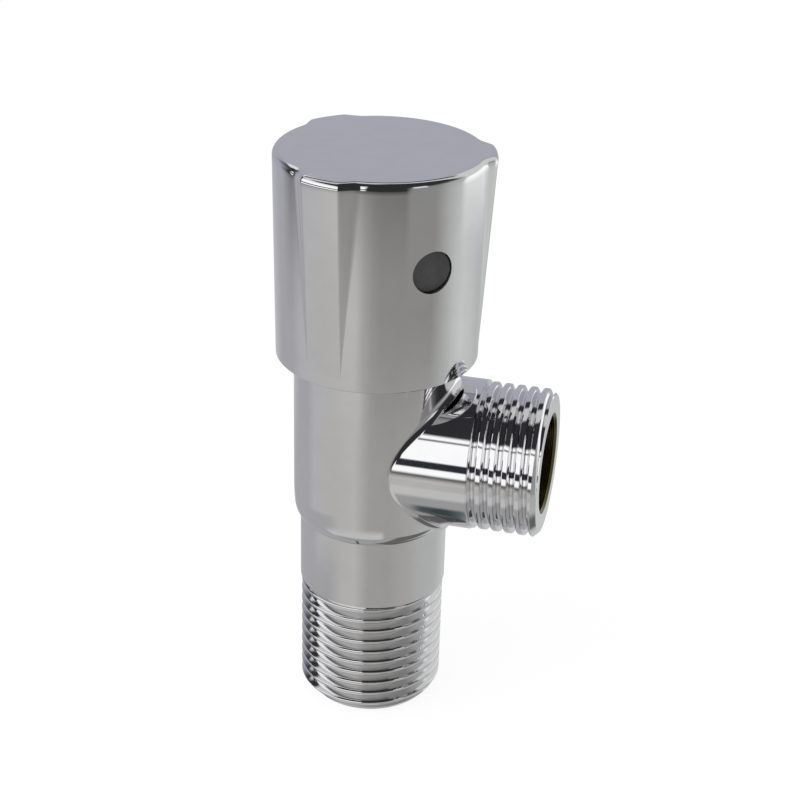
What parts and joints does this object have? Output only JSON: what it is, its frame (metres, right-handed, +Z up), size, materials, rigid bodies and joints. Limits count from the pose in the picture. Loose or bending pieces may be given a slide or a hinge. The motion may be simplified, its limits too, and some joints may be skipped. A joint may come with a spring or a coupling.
{
  "type": "angle valve",
  "caption": "Chromed quarter-turn angle valve: male pipe threads at right angles, ceramic disc cartridge inside, lobed handle with an indicator dot.",
  "frame": {"origin": "centre of the inlet's end face, on which the valve stands", "axes": "+Z up along the inlet, the spindle and the handle; +X out along the outlet"},
  "size_m": [0.0395, 0.0299, 0.0845],
  "materials": {
    "chromed_body": "polished chrome on brass",
    "chromed_handle": "polished chrome on die-cast zinc",
    "cartridge_brass": "turned",
    "ceramic": "lapped alumina",
    "seal_rubber": "matt",
    "low_friction_plastic": "matt",
    "steel": "plain",
    "indicator_plastic": "satin moulded"
  },
  "bodies": {
    "valve": {"valve_body": "chromed_body", "bonnet_gasket": "seal_rubber", "cartridge_housing": "cartridge_brass", "seat_seal": "seal_rubber", "seal_support_ring": "steel", "fixed_disc": "ceramic", "thrust_washer": "low_friction_plastic"},
    "turning_set": {"handle": "chromed_handle", "grub_screw": "steel", "indicator_plug": "indicator_plastic", "spindle": "cartridge_brass", "lower_stem_ring": "seal_rubber", "upper_stem_ring": "seal_rubber", "stop_ring": "cartridge_brass", "spindle_circlip": "steel", "moving_disc": "ceramic"}
  },
  "joints": [
    {"name": "handle_turn", "type": "hinge", "parent": "valve", "child": "turning_set", "pos_m": [0, 0, 0.07], "axis": [0, 0, 1], "range_deg": [0, 90]}
  ]
}
